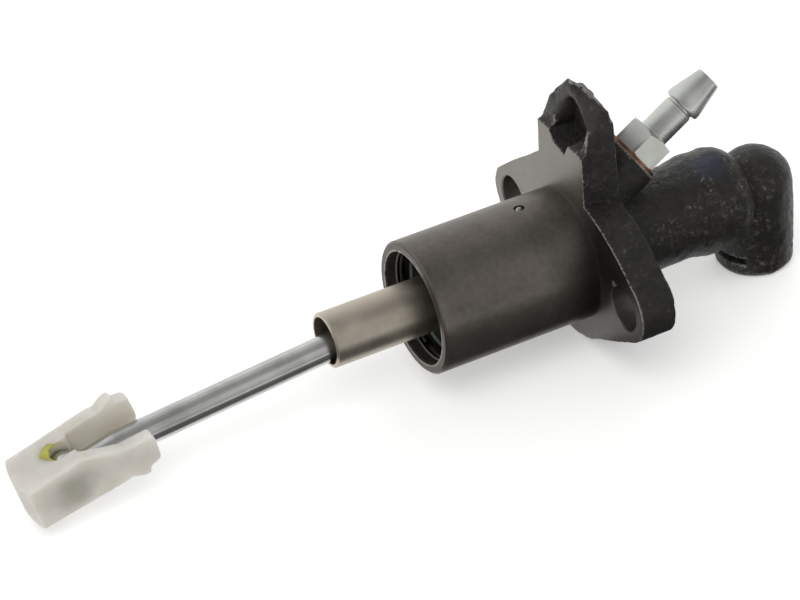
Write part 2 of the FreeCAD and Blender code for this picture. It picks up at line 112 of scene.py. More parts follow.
def refine(points, triangles, marked, longest):
    """Halves the longest side of each marked triangle while it is over `longest`.

    A triangle that loses a side to its neighbour is first halved at its own longest side, so
    pieces stay plump and no gap opens. Returns the points, triangles and marks of the pieces.
    """
    for _ in range(40):
        edges, sides = edge_list(triangles, len(points))
        length = np.linalg.norm(points[edges[:, 0]] - points[edges[:, 1]], axis=1)
        lead = np.argmax(length[sides], axis=1)
        leading = np.take_along_axis(sides, lead[:, None], axis=1)[:, 0]
        cut = np.zeros(len(edges), bool)
        cut[leading[marked & (length[leading] > longest)]] = True
        if not cut.any():
            break
        for _ in range(6):
            cut[leading[cut[sides].any(axis=1)]] = True
        middle = np.full(len(edges), -1)
        middle[cut] = len(points) + np.arange(cut.sum())
        points = np.vstack([points, points[edges[cut]].mean(axis=1)])
        turn = (lead[:, None] + np.arange(3)) % 3
        a, b, c = np.take_along_axis(triangles, turn, axis=1).T
        ab, bc, ca = middle[np.take_along_axis(sides, turn, axis=1)].T
        whole = ab < 0
        left, right = ~whole & (ca < 0), ~whole & (bc < 0)
        left_cut, right_cut = ~whole & (ca >= 0), ~whole & (bc >= 0)
        parts = [((a, b, c), whole), ((a, ab, c), left), ((a, ab, ca), left_cut), ((ca, ab, c), left_cut),
                 ((ab, b, c), right), ((ab, b, bc), right_cut), ((ab, bc, c), right_cut)]
        triangles = np.vstack([np.stack(corners, axis=1)[chosen] for corners, chosen in parts])
        marked = np.concatenate([marked[chosen] for _, chosen in parts])
    return points, triangles, marked


def relax(points, triangles, weight, rounds):
    """Moves each point a weighted part of the way to the mean of its neighbours, so edges round off."""
    edges, _ = edge_list(triangles, len(points))
    start, end = np.vstack([edges, edges[:, ::-1]]).T
    count = np.maximum(np.bincount(start, minlength=len(points)), 1)
    for _ in range(rounds):
        total = np.stack([np.bincount(start, points[end, axis], len(points)) for axis in range(3)], axis=1)
        points = points + weight[:, None] * (total / count[:, None] - points)
    return points


def normals(points, triangles):
    """Each point's outward direction: the mean of its triangles' cross products."""
    a, b, c = (points[triangles[:, i]] for i in range(3))
    cross = np.cross(b - a, c - a)
    total = np.zeros_like(points)
    for i in range(3):
        np.add.at(total, triangles[:, i], cross)
    return total / np.maximum(np.linalg.norm(total, axis=1), 1e-12)[:, None]


def lumps(points, size, seed):
    """Smooth random height from -1 to 1: lattice numbers every `size` mm, blended by s*s*(3 - 2*s)."""
    cells = points / size
    low = np.floor(cells)
    part = cells - low
    part = part * part * (3 - 2 * part)
    low = low.astype(np.int64)
    height = np.zeros(len(points))
    for corner in np.ndindex(2, 2, 2):
        i, j, k = (low + corner).T
        mixed = (i * 73856093) ^ (j * 19349663) ^ (k * 83492791) ^ (seed * 2654435761)
        mixed = ((mixed ^ (mixed >> 13)) * 1274126177) & 0x7FFFFFFF
        mixed = (mixed ^ (mixed >> 15)) & 0xFFFF
        share = np.prod(np.where(np.array(corner) == 1, part, 1 - part), axis=1)
        height += share * (mixed / 32767.5 - 1)
    return height


def piece(name, points, faces, material, body, replaces=(), sharp=30.0, marks=()):
    """A finished mesh piece: millimetre points and equal-sided faces, smooth but for sharp corners."""
    mesh = bpy.data.meshes.new(name)
    faces = np.asarray(faces)
    mesh.from_pydata(points * MM, [], faces.tolist())
    mesh.validate()
    mesh.polygons.foreach_set("use_smooth", np.ones(len(mesh.polygons), bool))
    mesh.set_sharp_from_angle(angle=np.radians(sharp))
    for mark, domain, values in marks:
        layer = mesh.attributes.new(mark, "FLOAT", domain)
        layer.data.foreach_set("value", values.astype(np.float32))
    mesh.materials.append(material)
    thing = bpy.data.objects.new(name, mesh)
    bpy.context.scene.collection.objects.link(thing)
    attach(thing, body)
    if replaces:
        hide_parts(*replaces)
    return thing


def grid_faces(rows, columns, wrap_rows=False):
    """Four-cornered faces of a grid that closes on itself across its columns."""
    i = np.arange(rows if wrap_rows else rows - 1)[:, None]
    j = np.arange(columns)[None, :]
    after, beside = (i + 1) % rows, (j + 1) % columns
    faces = [i * columns + j, i * columns + beside, after * columns + beside, after * columns + j]
    return np.stack([np.broadcast_to(f, (len(i), columns)).ravel() for f in faces], axis=1)


# Shader helpers

def linear(hex_colour, alpha=1.0):
    """An sRGB hex colour as the linear values that the shader takes."""
    parts = [int(hex_colour[i:i + 2], 16) / 255 for i in (1, 3, 5)]
    return [p / 12.92 if p <= 0.04045 else ((p + 0.055) / 1.055) ** 2.4 for p in parts] + [alpha]


def add(tree, kind, inputs=(), stops=(), **settings):
    """Adds a shader node; inputs are sockets by name or number, each given a value or a link.

    `stops` are a colour ramp's (place, hex colour) pairs.
    """
    node = tree.nodes.new("ShaderNode" + kind)
    for name, value in settings.items():
        setattr(node, name, value)
    for key, value in dict(inputs).items():
        if isinstance(value, bpy.types.NodeSocket):
            tree.links.new(value, node.inputs[key])
        else:
            node.inputs[key].default_value = value
    for _ in stops[2:]:
        node.color_ramp.elements.new(0.5)
    for i, (place, hex_colour) in enumerate(stops):
        node.color_ramp.elements[i].position = place
        node.color_ramp.elements[i].color = linear(hex_colour)
    return node


def blank(name):
    """A material with one Principled shader; returns it, its tree, the shader and object coordinates."""
    material = bpy.data.materials.new(name)
    material.use_nodes = True
    tree = material.node_tree
    tree.nodes.clear()
    shader = add(tree, "BsdfPrincipled")
    add(tree, "OutputMaterial", {"Surface": shader.outputs[0]})
    return material, tree, shader, add(tree, "TexCoord").outputs["Object"]


def per_mm(size):
    """Texture scale, in repeats per metre, of a pattern that repeats every `size` millimetres."""
    return 1 / (size * MM)


def phosphated_casting():
    """Phosphated cast iron, turned on the barrel and flange face and left raw elsewhere.

    The turned skin is a warm dark grey satin, lighter on the flange face, with fine tool rings.
    The bore is painted near black as shade, the barrel's near side by the flange gets painted
    shade, and the mouth's inner edge a ragged painted highlight. The raw skin is nearly black and
    pitted, with pale dust in broken patches, brown traces in the hollows and bright metal on its
    worn edges; it has a painted blue sheen on the rear hump, painted light in the lug's pocket and
    a painted glint on a small pip beside a bolt hole.
    """
    material, tree, shader, place = blank("phosphated_cast_iron")
    raw = add(tree, "Attribute", attribute_name="raw").outputs["Fac"]
    worn = add(tree, "Attribute", attribute_name="worn").outputs["Fac"]
    x, y, z = add(tree, "SeparateXYZ", {0: place}).outputs
    flat = add(tree, "CombineXYZ", {"Y": y, "Z": z}).outputs[0]
    radius = add(tree, "VectorMath", {0: flat}, operation="LENGTH").outputs["Value"]
    along = add(tree, "Math", {0: x, 1: radius}, operation="ADD").outputs[0]
    # Distance from the mouth's inner edge, along which a ragged painted highlight runs.
    from_rim = add(tree, "Math", {0: radius, 1: rim_radius * MM}, operation="SUBTRACT").outputs[0]
    from_rim = add(tree, "Math", {0: from_rim}, operation="ABSOLUTE").outputs[0]

    # Random patterns: size in millimetres, detail and roughness
    noise = {}
    for name, size, detail, rough in (
            ("patches", 13, 5.0, 0.6), ("grain", 1.6, 3.0, 0.5), ("skin", 2.4, 7.0, 0.72),
            ("hollows", 6, 4.0, 0.7), ("dust", 1.5, 8.0, 0.8), ("sparse", 9, 3.0, 0.5),
            ("pits", 1.0, 5.0, 0.7)):
        inputs = {"Vector": place, "Scale": per_mm(size), "Detail": detail, "Roughness": rough}
        noise[name] = add(tree, "TexNoise", inputs).outputs[0]
    away = {}
    for name, spot in (("pip_glint", pip_glint_middle), ("hump", hump_middle), ("pocket", pocket_mouth)):
        inputs = {0: place, 1: tuple(spot * MM)}
        away[name] = add(tree, "VectorMath", inputs, operation="DISTANCE").outputs["Value"]

    # Each share rises from 0 to 1 as its value goes from the first number to the second, in metres.
    share = {"worn": worn}
    for name, value, start, end in (
            # The bore share paints the inside of the bore near black: painted shade.
            ("face", x, -0.0008, -0.0002), ("bore", radius, 0.0170, 0.0167), ("front", x, -0.0501, -0.0503),
            ("on_face", x, -0.0006, -0.0003), ("above", z, -0.004, 0.005), ("near_side", y, -0.008, -0.019),
            # Painted shade on the barrel's near side by the flange, over its upper half and towards the
            # flange.
            ("root_painted_shade", x, -0.018, -0.003), ("rim", from_rim, 0.00045, 0.0002), ("rim_end", x, -0.0495, -0.0499),
            # A pale spot on a small pip beside the near bolt hole: a painted glint.
            ("grain", noise["grain"], 0.3, 0.55), ("pip_glint", away["pip_glint"], 0.0014, 0.0009),
            # A blue tint on the top of the rear hump: a painted sheen.
            ("brown", noise["hollows"], 0.56, 0.72), ("hump_painted_sheen", away["hump"], 0.008, 0.002),
            # A lighter tone inside the lug's pocket: painted light over its shade.
            ("pocket_painted_light", away["pocket"], 0.010, 0.006), ("dusty", noise["dust"], 0.53, 0.66),
            ("patch", noise["sparse"], 0.44, 0.60), ("thin_patch", noise["sparse"], 0.52, 0.62),
            ("rear", x, 0.008, 0.020), ("collar", x, 0.0495, 0.0520), ("collar_end", x, 0.0580, 0.0555),
            ("chipped", noise["dust"], 0.38, 0.52)):
        share[name] = add(tree, "MapRange", {"Value": value, "From Min": start, "From Max": end}).outputs[0]
    share["above"] = add(tree, "Mix", {0: share["on_face"], 2: 1.0, 3: share["above"]}).outputs[0]
    for name, other, how in (
            ("root_painted_shade", "near_side", "MULTIPLY"), ("root_painted_shade", "above", "MULTIPLY"), ("root_painted_shade", 0.7, "MULTIPLY"),
            ("rim", "rim_end", "MULTIPLY"), ("rim", "grain", "MULTIPLY"), ("hump_painted_sheen", 0.7, "MULTIPLY"),
            ("pocket_painted_light", 0.7, "MULTIPLY"), ("collar", "collar_end", "MULTIPLY"), ("patch", "rear", "MULTIPLY"),
            ("thin_patch", 0.6, "MULTIPLY"), ("patch", "collar", "MAXIMUM"),
            ("patch", "thin_patch", "MAXIMUM"), ("dusty", "patch", "MULTIPLY"),
            ("chipped", "worn", "MULTIPLY")):
        inputs = {0: share[name], 1: share.get(other, other)}
        share[name] = add(tree, "Math", inputs, operation=how).outputs[0]

    # The turned skin, then the raw one, each a ground colour with layers over it
    inputs = {0: noise["grain"], 1: 0.4, 2: noise["patches"]}
    tone = add(tree, "Math", inputs, operation="MULTIPLY_ADD").outputs[0]
    barrel = add(tree, "ValToRGB", {0: tone}, stops=((0.45, "#625d57"), (0.95, "#79736c"))).outputs[0]
    face = add(tree, "ValToRGB", {0: tone}, stops=((0.45, "#77736e"), (0.95, "#86827d"))).outputs[0]
    turned = add(tree, "Mix", {0: share["face"], 6: barrel, 7: face}, data_type="RGBA").outputs[2]
    # Over the turned colour: painted shade in the bore and by the flange, a painted highlight on the mouth's
    # edge and a painted glint on the pip.
    for name, hex_colour in (("bore", "#1b1916"), ("front", "#55504a"), ("root_painted_shade", "#22211d"),
                             ("rim", "#98908a"), ("pip_glint", "#c9c7c2")):
        inputs = {0: share[name], 6: turned, 7: linear(hex_colour)}
        turned = add(tree, "Mix", inputs, data_type="RGBA").outputs[2]
    stops = ((0.3, "#12110f"), (0.72, "#2f2d2b"))
    rough_skin = add(tree, "ValToRGB", {0: noise["skin"]}, stops=stops).outputs[0]
    # Over the raw colour: brown traces, a painted blue sheen on the hump, painted light in the pocket, pale
    # dust and bright worn metal.
    for name, hex_colour in (("brown", "#33271c"), ("hump_painted_sheen", "#2a3148"), ("pocket_painted_light", "#4d4843"),
                             ("dusty", "#77736b"), ("chipped", "#a39f97")):
        inputs = {0: share[name], 6: rough_skin, 7: linear(hex_colour)}
        rough_skin = add(tree, "Mix", inputs, data_type="RGBA").outputs[2]
    skin = add(tree, "Mix", {0: raw, 6: turned, 7: rough_skin}, data_type="RGBA").outputs[2]
    tree.links.new(skin, shader.inputs["Base Color"])

    turned_rough = add(tree, "MapRange", {"Value": noise["patches"], "To Min": 0.34, "To Max": 0.46})
    raw_rough = add(tree, "MapRange", {"Value": noise["skin"], "To Min": 0.26, "To Max": 0.50})
    roughness = add(tree, "Mix", {0: raw, 2: turned_rough.outputs[0], 3: raw_rough.outputs[0]})
    tree.links.new(roughness.outputs[0], shader.inputs["Roughness"])
    metal = add(tree, "MapRange", {"Value": raw, "To Min": 0.9, "To Max": 0.25})
    tree.links.new(metal.outputs[0], shader.inputs["Metallic"])

    # Tool rings are 0.2 mm apart on the real barrel and are drawn 0.7 mm apart, so that they show.
    rings = add(tree, "TexNoise", {"W": along, "Scale": per_mm(0.7), "Detail": 2.0}, noise_dimensions="1D")
    height = add(tree, "Mix", {0: raw, 2: rings.outputs[0], 3: noise["pits"]})
    depth = add(tree, "Mix", {0: raw, 2: 0.00003, 3: 0.0006})
    bump = add(tree, "Bump", {"Height": height.outputs[0], "Distance": depth.outputs[0], "Strength": 0.8})
    tree.links.new(bump.outputs[0], shader.inputs["Normal"])
    return material


def streaked_steel(name, light, dark, roughness, across, along, turn=0.0):
    """Drawn and zinc-plated steel: bright, with fine lines along the pull of the die."""
    material, tree, shader, place = blank(name)
    straight = add(tree, "Mapping", {"Vector": place, "Rotation": (0, turn, 0)}).outputs[0]
    inputs = {0: straight, 1: (across / along, 1, 1)}
    stretched = add(tree, "VectorMath", inputs, operation="MULTIPLY").outputs[0]
    lines = add(tree, "TexNoise", {"Vector": stretched, "Scale": per_mm(across), "Detail": 4.0})
    cloud = add(tree, "TexNoise", {"Vector": place, "Scale": per_mm(9), "Detail": 3.0})
    tone = add(tree, "Math", {0: lines.outputs[0], 1: 0.7, 2: cloud.outputs[0]}, operation="MULTIPLY_ADD")
    colour = add(tree, "ValToRGB", {0: tone.outputs[0]}, stops=((0.6, dark), (1.0, light)))
    tree.links.new(colour.outputs[0], shader.inputs["Base Color"])
    inputs = {"Value": lines.outputs[0], "To Min": roughness * 0.75, "To Max": roughness * 1.3}
    gloss = add(tree, "MapRange", inputs)
    tree.links.new(gloss.outputs[0], shader.inputs["Roughness"])
    shader.inputs["Metallic"].default_value = 1.0
    bump = add(tree, "Bump", {"Height": lines.outputs[0], "Distance": 0.00002, "Strength": 0.5})
    tree.links.new(bump.outputs[0], shader.inputs["Normal"])
    return material


def turned_metal(name, light, dark, roughness, pitch, axis_turn=0.0, metallic=1.0, ringed=0.4):
    """Turned or ground metal: fine rings round the piece's own axis, and a faint cloud of tarnish."""
    material, tree, shader, place = blank(name)
    straight = add(tree, "Mapping", {"Vector": place, "Rotation": (0, axis_turn, 0)}).outputs[0]
    axes = add(tree, "SeparateXYZ", {0: straight}).outputs
    inputs = {"W": axes["X"], "Scale": per_mm(pitch), "Detail": 3.0}
    rings = add(tree, "TexNoise", inputs, noise_dimensions="1D")
    cloud = add(tree, "TexNoise", {"Vector": place, "Scale": per_mm(7), "Detail": 4.0})
    tone = add(tree, "Math", {0: rings.outputs[0], 1: ringed, 2: cloud.outputs[0]}, operation="MULTIPLY_ADD")
    colour = add(tree, "ValToRGB", {0: tone.outputs[0]}, stops=((0.5, dark), (0.9, light)))
    tree.links.new(colour.outputs[0], shader.inputs["Base Color"])
    inputs = {"Value": cloud.outputs[0], "To Min": roughness * 0.8, "To Max": roughness * 1.25}
    gloss = add(tree, "MapRange", inputs)
    tree.links.new(gloss.outputs[0], shader.inputs["Roughness"])
    shader.inputs["Metallic"].default_value = metallic
    bump = add(tree, "Bump", {"Height": rings.outputs[0], "Distance": 0.0001 * ringed, "Strength": 0.6})
    tree.links.new(bump.outputs[0], shader.inputs["Normal"])
    return material


def moulded(name, light, dark, roughness, grain, depth, subsurface=0.0, shade=None):
    """A moulded plastic or rubber skin: nearly even colour, faint flow clouds and a fine grain."""
    material, tree, shader, place = blank(name)
    cloud = add(tree, "TexNoise", {"Vector": place, "Scale": per_mm(8), "Detail": 3.0})
    colour = add(tree, "ValToRGB", {0: cloud.outputs[0]}, stops=((0.3, dark), (0.7, light))).outputs[0]
    if shade:
        colour = shade(tree, place, colour)
    tree.links.new(colour, shader.inputs["Base Color"])
    skin = add(tree, "TexNoise", {"Vector": place, "Scale": per_mm(grain), "Detail": 3.0})
    inputs = {"Value": skin.outputs[0], "To Min": roughness * 0.85, "To Max": roughness * 1.15}
    gloss = add(tree, "MapRange", inputs)
    tree.links.new(gloss.outputs[0], shader.inputs["Roughness"])
    shader.inputs["Subsurface Weight"].default_value = subsurface
    shader.inputs["Subsurface Radius"].default_value = (0.0090, 0.0085, 0.0070)
    shader.inputs["Subsurface Scale"].default_value = 1.0
    bump = add(tree, "Bump", {"Height": skin.outputs[0], "Distance": depth * MM, "Strength": 0.5})
    tree.links.new(bump.outputs[0], shader.inputs["Normal"])
    return material


def clip_shade(tree, place, colour):
    """Natural nylon: a soft grey painted shade where the steel ball lies behind the wall, and grease has
    stained it.
    """
    flat = add(tree, "VectorMath", {0: place, 1: (1, 0, 1)}, operation="MULTIPLY").outputs[0]
    # Place, its middle, size and detail of the edge's pattern, outer and inner reach, strength, colour
    for spot, middle, size, detail, outer, inner, level, hex_colour in (
            # First row: painted shade over the steel ball; second row: the grease stain.
            (flat, shade_middle, 5, 2.0, 0.0105, 0.0035, 0.5, "#7f7c6c"),
            (place, grease_middle, 2, 4.0, 0.0062, 0.0030, 0.75, "#bab65a")):
        inputs = {0: spot, 1: tuple(middle * MM)}
        away = add(tree, "VectorMath", inputs, operation="DISTANCE").outputs["Value"]
        edge = add(tree, "TexNoise", {"Vector": place, "Scale": per_mm(size), "Detail": detail}).outputs[0]
        ragged = add(tree, "Math", {0: edge, 1: 0.004, 2: away}, operation="MULTIPLY_ADD").outputs[0]
        inputs = {"Value": ragged, "From Min": outer, "From Max": inner, "To Max": level}
        smooth = "SMOOTHSTEP" if spot == flat else "LINEAR"
        share = add(tree, "MapRange", inputs, interpolation_type=smooth).outputs[0]
        inputs = {0: share, 6: colour, 7: linear(hex_colour)}
        colour = add(tree, "Mix", inputs, data_type="RGBA").outputs[2]
    return colour


# Finishes

casting_finish = phosphated_casting()
# Bright drawn steel with long die lines
rod_finish = streaked_steel("zinc_plated_rod", "#d0d0ce", "#b4b4b2", 0.24, 0.5, 60.0, rod_droop)
# A warm pale satin tube, almost without rings
plunger_finish = turned_metal("hard_anodised_tube", "#d8cfc0", "#bbb2a4", 0.40, 0.5, ringed=0.08)
# Pale plated steel, turned round the tilted axis
nipple_finish = turned_metal("zinc_plated_turned_steel", "#dddfda", "#c2c4be", 0.38, 0.45, supply_tilt,
                             ringed=0.25)
# Greenish sheet steel, its colour darkened as painted shade of the mouth
pressed_finish = turned_metal("pressed_steel_zinc", "#515850", "#363c36", 0.36, 0.8)
# Nearly black spring wire
dark_finish = turned_metal("phosphated_spring_steel", "#4a4844", "#2c2b29", 0.42, 0.6, metallic=0.7)
# Ground grey steel, the glossiest metal here
ball_finish = turned_metal("bearing_steel", "#a5a5a3", "#878785", 0.22, 1.2)
# A soft brown washer, dulled by annealing
copper_finish = turned_metal("annealed_copper", "#a37d66", "#745341", 0.42, 0.4, supply_tilt)
# Rubber and plastics: black seals, grey bushes, a white socket, milky nylon, wet grease
rubber_finish = moulded("black_seal_rubber", "#24242a", "#17171a", 0.55, 0.5, 0.01)
bush_finish = moulded("glass_filled_bush", "#3a3a38", "#282826", 0.5, 0.6, 0.02)
socket_finish = moulded("white_acetal", "#e6e4dc", "#d6d3c9", 0.38, 0.6, 0.01, 0.15)
nylon_finish = moulded("natural_nylon", "#d6d3cd", "#c9c5be", 0.42, 0.7, 0.02, 1.0, clip_shade)
grease_finish = moulded("yellow_grease", "#c4c052", "#a19a35", 0.25, 0.9, 0.05, 0.5)

for node, finish in {"closing_ball": ball_finish, "snap_ring": dark_finish, "retainer_cup": pressed_finish,
                     "guide_bush": bush_finish, "bush_o_ring": rubber_finish, "wiper_seal": rubber_finish,
                     "secondary_seal": rubber_finish, "supply_ring": bush_finish,
                     "backing_washer": pressed_finish, "primary_seal": rubber_finish,
                     "plunger": plunger_finish, "rod_socket": socket_finish, "socket_ring": dark_finish,
                     "push_rod": rod_finish, "spring_seat": pressed_finish, "return_spring": ball_finish,
                     "sealing_washer": copper_finish}.items():
    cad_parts[node].material_slots[0].material = finish


# The casting

def cast_body():
    """The casting with its raw skin cut fine, its edges rounded and the skin raised by random heights.

    A triangle is raw unless it lies on the barrel, the flange face, a bored hole or a seat. Each
    raw point moves along its normal by a sum of random heights, larger on the torn top of the lug.
    """
    points, triangles = solid_copy("cylinder_body")
    a, b, c = (points[triangles[:, i]] for i in range(3))
    middle = (a + b + c) / 3
    cross = np.cross(b - a, c - a)
    facing = cross / np.maximum(np.linalg.norm(cross, axis=1), 1e-12)[:, None]
    from_axis = np.hypot(middle[:, 1], middle[:, 2])
    from_bolt = np.hypot(np.abs(middle[:, 1]) - bolt_y, middle[:, 2])
    from_outlet = np.hypot(middle[:, 0] - outlet_x, middle[:, 1])
    from_seat = middle - supply_seat
    up_boss = from_seat @ supply_axis
    off_boss = np.linalg.norm(from_seat - up_boss[:, None] * supply_axis, axis=1)
    turned = middle[:, 0] < flange_face_x + 0.01
    turned &= ~((np.abs(middle[:, 2]) > lug_face_height) & (facing[:, 0] > -0.99))
    machined = turned | ((from_bolt < bolt_hole_radius + 0.45) & (middle[:, 0] < 11.25))
    machined |= (from_axis < 12.3) & (middle[:, 0] < 52.5) & (middle[:, 0] > 0)
    machined |= (from_outlet < socket_radius + 0.2) & (middle[:, 2] < 0)
    machined |= (middle[:, 2] < outlet_foot_z + 0.01)
    machined |= (np.abs(up_boss) < 0.01) & (off_boss < 9.1)
    machined |= (np.abs(up_boss) < 12) & (off_boss < 5.2)
    raw = ~machined
    points, triangles, raw = refine(points, triangles, raw, 1.05)

    share = np.zeros(len(points))
    count = np.zeros(len(points))
    for i in range(3):
        np.add.at(share, triangles[:, i], raw.astype(float))
        np.add.at(count, triangles[:, i], 1.0)
    share /= np.maximum(count, 1)
    free = (share > 0.999).astype(float)
    points = relax(points, triangles, free * 0.5, 3)
    in_pocket = np.linalg.norm((points - pocket_middle) / np.array([6.0, 9.0, 10.5]), axis=1) < 1
    points = relax(points, triangles, free * in_pocket * 0.5, 14)
    outward = normals(points, triangles[raw])
    rim = (share > 0) & (share < 1) & (np.abs(points[:, 0]) < 0.01)
    rim &= np.hypot(points[:, 1], points[:, 2]) > 21
    outward[rim, 0] = 0
    bulge = np.sum((points - relax(points, triangles, np.ones(len(points)), 1)) * outward, axis=1)
    worn = np.where(free > 0, np.clip((bulge - 0.05) / 0.07, 0, 1), (share > 0) & (share < 1))
    torn = np.exp(-np.sum(((points - torn_middle) / np.array([9.0, 6.0, 6.0])) ** 2, axis=1))
    height = 0.20 * lumps(points, 7.0, 1) + 0.13 * lumps(points, 2.6, 2) * (1 + 2.5 * torn)
    height += 0.09 * lumps(points, 1.3, 3) * (1 + 1.5 * torn)
    height -= 0.25 * np.clip(lumps(points, 2.0, 4) - 0.55, 0, 1)
    chunks = lumps(points, 4.2, 5)
    broken = np.clip((points[:, 2] - 44) / 5, 0, 1) * ~in_pocket
    height += 0.55 * np.sign(chunks) * np.abs(chunks) ** 0.6 * broken
    points = points + (np.maximum(free, rim) * height)[:, None] * outward
    return piece("casting", points, triangles, casting_finish, "cylinder",
                 replaces=["cylinder_body"], sharp=32.0,
                 marks=[("raw", "FACE", raw), ("worn", "POINT", worn)])


cast_body()


# The hose nipple

def hose_nipple():
    """Radius over (along, turn), carried round the nipple's axis and back through its bore.

    The radius is a turned profile with shallow rings on the neck; on the hexagon it is the smaller
    of the crown's cone and half the width across flats over the cosine of the turn from a flat.
    """
    hex_start, hex_end, barb_start, tip = 1.0, 9.0, 20.8, 31.7
    crown = np.linspace(hex_end - 0.9, hex_end, 9)
    neck = np.arange(hex_end + 0.6, barb_start - 1.6, 0.14)
    ribs = 4.55 + 0.035 * np.sin(neck * 2 * np.pi / 0.84) * np.clip((neck - hex_end) / 1.0, 0, 1)
    barb = np.linspace(barb_start + 1.6, tip - 0.5, 26)
    taper = 5.6 + (3.85 - 5.6) * (barb - barb[0]) / (barb[-1] - barb[0])
    taper = taper + 0.025 * np.sin(barb * 2 * np.pi / 1.1)
    along = np.concatenate([[-9.0, -9.0, -8.2, hex_start, hex_start, hex_start + 0.3], crown,
                            [hex_end, hex_end + 0.25],
                            neck, [barb_start - 1.5, barb_start - 1.2, barb_start - 0.7, barb_start - 0.6,
                                   barb_start - 0.35, barb_start, barb_start + 0.3], barb,
                            [tip - 0.15, tip, tip, tip - 0.3, hex_start, -9.0]])
    radius = np.concatenate([[2.7, 4.4, 5.0, 5.0, 7.7, 8.1], np.linspace(8.1, 6.8, 9), [4.85, 4.6],
                             ribs, [4.5, 4.15, 4.15, 5.1, 5.5, 5.66, 5.68], taper,
                             [3.7, 3.4, 3.0, 2.7, 2.7, 2.7]])
    turn = np.arange(0, 360, 2.0)
    from_flat = np.radians((turn - 16.0) % 60 - 30)
    flats = 7.0 / np.cos(from_flat)
    is_hex = (along >= hex_start) & (along <= hex_end) & (radius > 6.0)
    round_reach = radius[:, None] + 0 * flats
    reach = np.where(is_hex[:, None], np.minimum(round_reach, flats), round_reach)
    angle = np.radians(turn)
    across = np.array([-np.sin(supply_tilt), 0.0, np.cos(supply_tilt)])
    side = np.array([0.0, 1.0, 0.0])
    points = supply_seat + along[:, None, None] * supply_axis
    points = points + (reach * np.cos(angle))[:, :, None] * side
    points = points + (reach * np.sin(angle))[:, :, None] * across
    faces = grid_faces(len(along), len(turn), wrap_rows=True)
    return piece("hose_nipple", points.reshape(-1, 3), faces, nipple_finish, "cylinder",
                 replaces=["supply_nipple"], sharp=28.0)


hose_nipple()


# The pedal clip and its grease

def clip_body():
    """The moulded clip, cut to short sides and relaxed towards the neighbours' mean to round its edges."""
    points, triangles = solid_copy("pedal_clip")
    points, triangles, _ = refine(points, triangles, np.ones(len(triangles), bool), 0.6)
    points = relax(points, triangles, np.full(len(points), 0.5), 9)
    return piece("nylon_clip", points, triangles, nylon_finish, "pedal_clip",
                 replaces=["pedal_clip"], sharp=60.0)


clip_body()


def grease_ring():
    """Grease pushed up at the ball's window: a ring of small round section, thick on one side.

    The section's radius is a bell curve over the turn round the window, made uneven by random
    heights, and the ring sinks under the clip's top where it is thin.
    """
    turn = np.linspace(0, 2 * np.pi, 120, endpoint=False)
    section = np.linspace(0, 2 * np.pi, 24, endpoint=False)
    around = np.stack([np.cos(turn), np.sin(turn), 0 * turn], axis=1)
    from_thick = (turn - 2.5 + np.pi) % (2 * np.pi) - np.pi
    bell = np.exp(-(from_thick / 0.95) ** 2)
    swell = 0.1 + 1.25 * bell * (1 + 0.3 * lumps(around * 3, 0.9, 11))
    ring = window_radius + 0.4 * swell
    reach = ring[:, None] + swell[:, None] * np.cos(section)[None, :]
    sunk = 0.15 + 0.7 * (1 - bell[:, None])
    rise = 0.32 * swell[:, None] * np.sin(section)[None, :] - sunk
    reach += 0.12 * lumps(np.stack([reach * np.cos(turn)[:, None], reach * np.sin(turn)[:, None], rise],
                                   axis=2).reshape(-1, 3), 0.7, 12).reshape(reach.shape)
    side = np.array([0.0, 1.0, 0.0])
    middle = outer_ball + clip_top * clip_upward
    points = middle + (reach * np.cos(turn)[:, None])[:, :, None] * clip_forward
    points = points + (reach * np.sin(turn)[:, None])[:, :, None] * side + rise[:, :, None] * clip_upward
    faces = grid_faces(len(turn), len(section), wrap_rows=True)[:, ::-1]
    return piece("clip_grease", points.reshape(-1, 3), faces, grease_finish, "pedal_clip",
                 sharp=80.0)


grease_ring()


# Stage, light and camera

def floor():
    """A pale floor whose plain colour is white to the eye and to reflections, with the shadow kept."""
    material, tree, shader, _ = blank("pale_floor")
    shader.inputs["Base Color"].default_value = linear("#f4f4f2")
    shader.inputs["Roughness"].default_value = 0.9
    path = add(tree, "LightPath").outputs
    seen = add(tree, "Math", {0: path["Is Camera Ray"], 1: path["Is Glossy Ray"]}, operation="MAXIMUM")
    seen = add(tree, "Math", {0: seen.outputs[0], 1: path["Is Transmission Ray"]}, operation="MAXIMUM")
    level = add(tree, "Math", {0: seen.outputs[0], 1: 0.35}, operation="MULTIPLY")
    glow = add(tree, "Emission", {"Color": linear("#ffffff"), "Strength": level.outputs[0]})
    both = add(tree, "AddShader", {0: shader.outputs[0], 1: glow.outputs[0]})
    output = next(n for n in tree.nodes if n.bl_idname == "ShaderNodeOutputMaterial")
    tree.links.new(both.outputs[0], output.inputs["Surface"])
    reach = 4.0
    height = cad_box[0].z - 0.0002
    mesh = bpy.data.meshes.new("floor")
    mesh.from_pydata([(-reach, -reach, height), (reach, -reach, height), (reach, reach, height),
                      (-reach, reach, height)], [], [(0, 1, 2, 3)])
    mesh.materials.append(material)
    thing = bpy.data.objects.new("floor", mesh)
    bpy.context.scene.collection.objects.link(thing)


floor()


